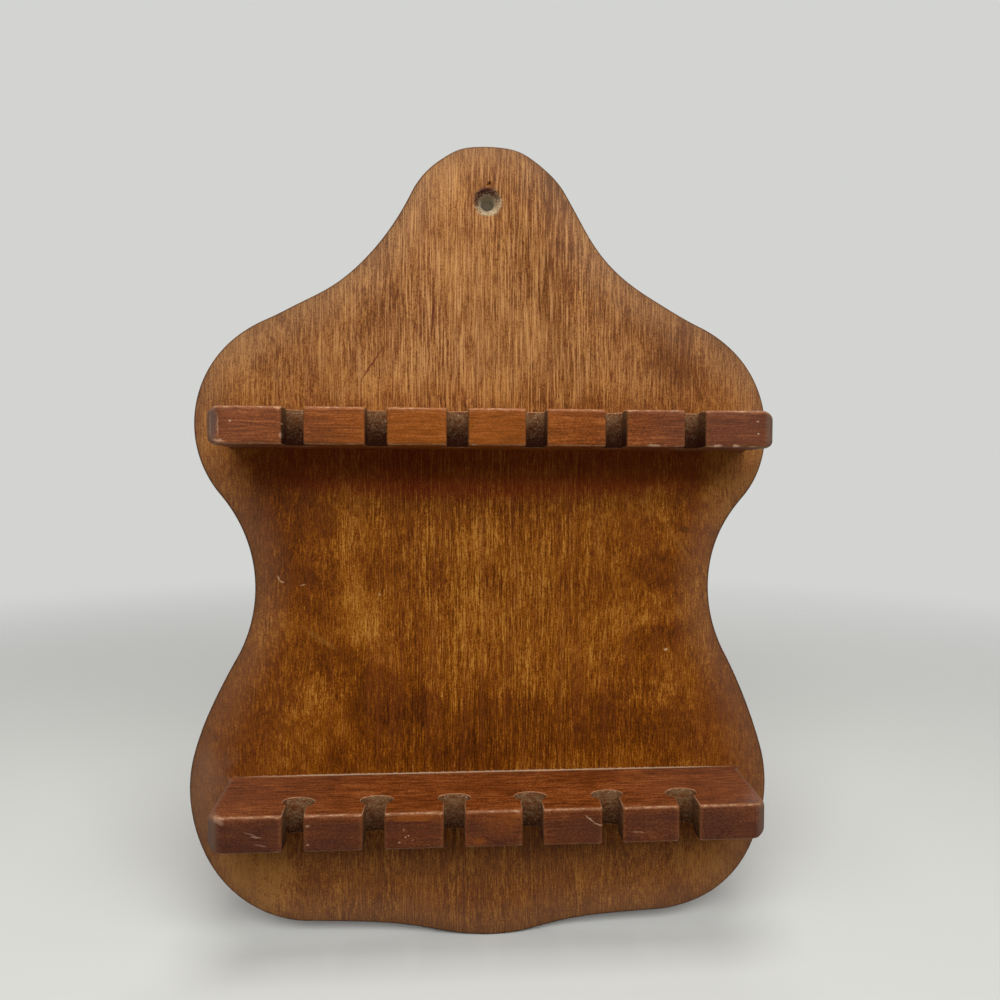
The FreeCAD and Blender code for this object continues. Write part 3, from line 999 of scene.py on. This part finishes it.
    # Chips, specks and scratches
    scratched = stray(tree, place, (1.2, 1.2, 1.2), (1.2, 0, 1.0))
    for strength, x, depth, z, half_length, half_height, lean in rail_marks:
        share = oval(tree, scratched, (x, rail_front + depth, z), (half_length, 4.0, half_height), lean,
                     strength)
        colour = paint(tree, share, colour, "#c09a7c")
    dull = add(tree, "Math", {0: inner, 1: bare}, operation="MAXIMUM")
    dull = add(tree, "Math", {0: dull, 1: end}, operation="MAXIMUM")
    sheen = add(tree, "MapRange", {"Value": dull, "To Min": 0.42, "To Max": 0.8})
    relief = add(tree, "Math", {0: grain["growth"], 1: grain["line"]}, operation="ADD")
    relief = add(tree, "Mix", {0: inner, 2: relief, 3: grain["speckle"]}, data_type="FLOAT")
    bump = add(tree, "Bump", {"Height": relief, "Strength": 0.3, "Distance": 0.2 * mm}, invert=True)
    wood = add(tree, "BsdfPrincipled", {
        "Base Color": colour, "Roughness": sheen, "IOR": 1.5, "Specular IOR Level": 0.07, "Normal": bump})
    add(tree, "OutputMaterial", {"Surface": wood})
    return material


rail_wood = stained_softwood()
for seed, node in enumerate(rail_slots, start=20):
    rows, shades = rail_rows(node, seed)
    rail_mesh = grid_mesh(node + "_wood", rows)
    set_shades(rail_mesh, shades)
    rail = new_object(rail_mesh, rail_wood)
    cut(rail, [screw_hole(x, z) for x, z in screw_places(node)])
    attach(rail, "root")
    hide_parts(node)

# Screws
# Two slotted flat-head wood screws behind each rail, of plain steel gone dull, driven through the board
# into the rail and sunk just below the board's back. The thread runs up to the plain shank.
screw_slot_width = 0.9
screw_slot_depth = 0.8
screw_slot_turns = (25.0, 110.0)
thread_pitch = 1.3
thread_half_width = 0.24
thread_points = 36
thread_rows = 130
shank_rows = 6
head_rows = 5
# How far before the thread's end it starts to sink, and has sunk, into the shank
thread_fade = (1.2, 0.3)


def screw_rows(x, z):
    """A screw from point to head: the plain profile turned, plus a ridge that climbs one pitch to a turn."""
    profile_radius, profile_depth = screw_profile(0)
    end, core_end = profile_depth[0], profile_depth[3]
    neck, top = profile_depth[4:]
    depth = np.concatenate([
        np.linspace(end, core_end, thread_rows),
        np.linspace(core_end, neck, shank_rows)[1:],
        np.linspace(neck, top, head_rows)[1:],
    ])
    radius = np.interp(depth, profile_depth, profile_radius)
    grown = np.interp(depth, [end, end + thread_pitch, *(core_end - np.array(thread_fade))], [0, 1, 1, 0])
    turn = np.arange(thread_points) / thread_points
    climb = ((depth - end) / thread_pitch)[:, None] - turn
    ridge = np.clip(1 - abs(climb % 1 - 0.5) / thread_half_width, 0, 1)
    height = (screw_d - screw_core_d) / 2 * grown[:, None]
    return turned_rows(radius[:, None] + height * ridge, depth, x, z, thread_points)


def screw_slot(x, z, turn):
    """Room for a driver's blade: a flat bar across the head."""
    half_length = screw_head_d / 2 + overcut
    half_width = screw_slot_width / 2
    corners = np.array([-half_length + 1j * half_width, half_length + 1j * half_width,
                        half_length - 1j * half_width, -half_length - 1j * half_width]) * heading(-turn)
    depth = np.array([[-screw_head_sink - screw_slot_depth], [overcut]]) + 0 * corners.real
    rows = np.stack([x + corners.real + 0 * depth, depth, z + corners.imag + 0 * depth], axis=-1)
    return new_object(grid_mesh("screw_slot", rows))


def dull_steel():
    """Plain turned steel, dulled by handling: grey with faint brown spots and a broken shine."""
    material, tree, place = new_material("dull_turned_steel")
    spots = add(tree, "TexNoise", {"Vector": place, "Scale": 1 / (1.4 * mm), "Detail": 4.0, "Roughness": 0.7})
    rust = add(tree, "MapRange", {"Value": spots, "From Min": 0.5, "From Max": 0.75, "To Max": 0.7})
    colour = paint(tree, rust, "#a9a59d", "#5e4a3a")
    rough = add(tree, "MapRange", {"Value": spots, "To Min": 0.25, "To Max": 0.6})
    steel = add(tree, "BsdfPrincipled", {"Base Color": colour, "Metallic": 1.0, "Roughness": rough})
    add(tree, "OutputMaterial", {"Surface": steel})
    return material


screw_steel = dull_steel()
for rail, node in screw_nodes.items():
    for side, (x, z), slot_turn in zip(("left", "right"), screw_places(rail), screw_slot_turns):
        screw = new_object(grid_mesh(f"{rail}_screw_{side}", screw_rows(x, z)), screw_steel)
        cut(screw, [screw_slot(x, z, slot_turn)])
        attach(screw, "root")
        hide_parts(node)
